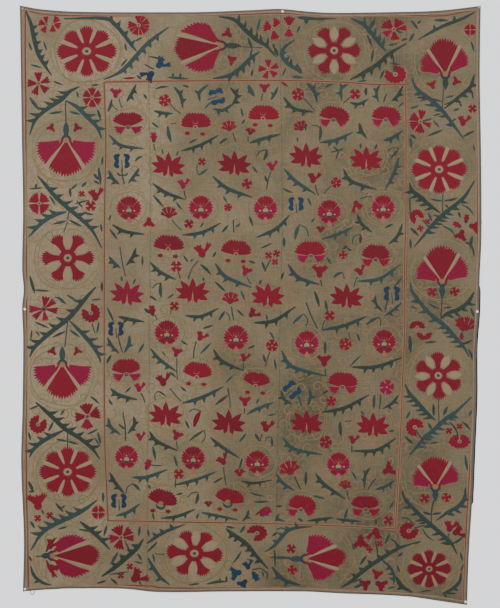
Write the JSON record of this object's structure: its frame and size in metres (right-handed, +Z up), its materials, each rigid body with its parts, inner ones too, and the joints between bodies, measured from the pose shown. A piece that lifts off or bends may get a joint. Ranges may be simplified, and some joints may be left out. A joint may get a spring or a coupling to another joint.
{
  "type": "embroidered cloth wall hanging with push pins",
  "caption": "Suzani style embroidered cotton hanging of sewn loom widths with folded edging, lining, corner loop and the push pins that hold it up by its edges.",
  "frame": {"origin": "middle of the top edge, on the plane that the cloth hangs against", "axes": "+Z up the cloth, +X to the right as seen from the front, +Y to the back, so the face looks along -Y"},
  "size_m": [1.7992, 0.0283, 2.336],
  "materials": {
    "embroidered_cotton": "hand-woven undyed cotton with silk couching embroidery",
    "lining_cotton": "plain indigo-black cotton",
    "edging_tape": "narrow woven edging tape, matt",
    "loop_cord": "twisted cotton cord",
    "white_enamel": "white enamelled pin head",
    "dull_steel": "dull steel pin"
  },
  "bodies": {
    "root": {"cloth_width_1": "embroidered_cotton", "cloth_width_2": "embroidered_cotton", "cloth_width_3": "embroidered_cotton", "cloth_width_4": "embroidered_cotton", "lining": "lining_cotton", "edging_left": "edging_tape", "edging_right": "edging_tape", "edging_top": "edging_tape", "edging_foot": "edging_tape", "push_pin_top_middle": "white_enamel", "push_pin_left": "white_enamel", "push_pin_right": "white_enamel", "push_pin_bottom_left": "white_enamel", "push_pin_bottom_right": "white_enamel", "push_pin_top_left": "dull_steel", "push_pin_top_right": "dull_steel", "corner_loop": "loop_cord"}
  },
  "joints": []
}
